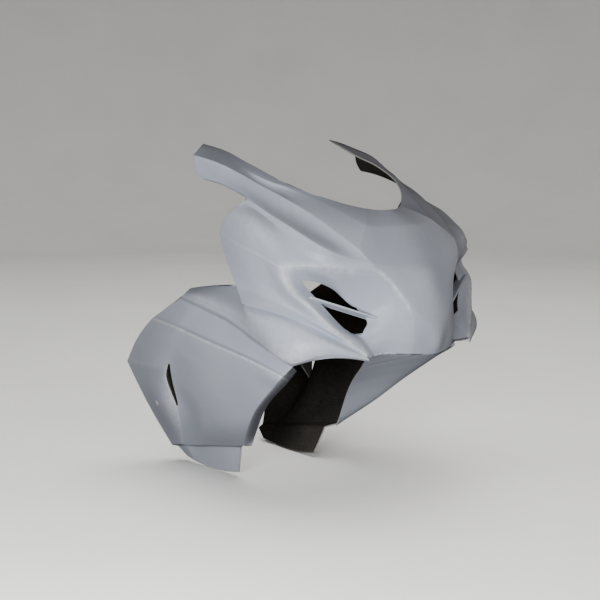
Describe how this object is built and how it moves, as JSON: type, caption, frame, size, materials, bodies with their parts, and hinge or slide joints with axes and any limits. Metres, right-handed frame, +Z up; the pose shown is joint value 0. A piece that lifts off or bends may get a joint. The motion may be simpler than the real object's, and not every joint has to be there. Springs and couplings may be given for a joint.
{
  "type": "motorcycle fairing",
  "caption": "Unpainted glass-fibre front fairing for a sports motorcycle: nose, screen opening, side intakes with a rolled lip, and side panels with inward front webs.",
  "frame": {"origin": "middle of the inner face of the nose, where the fairing stay is bonded", "axes": "+X to the front of the motorcycle, +Y to the rider's left, +Z up"},
  "size_m": [0.6343, 0.4428, 0.6007],
  "materials": {
    "gelcoat": "semi-gloss white gel coat outside, raw glass-fibre laminate inside",
    "gelcoat_strip": "semi-gloss white gel coat"
  },
  "bodies": {
    "root": {"fairing_skin": "gelcoat", "right_intake_strip": "gelcoat_strip", "left_intake_strip": "gelcoat_strip"}
  },
  "joints": []
}
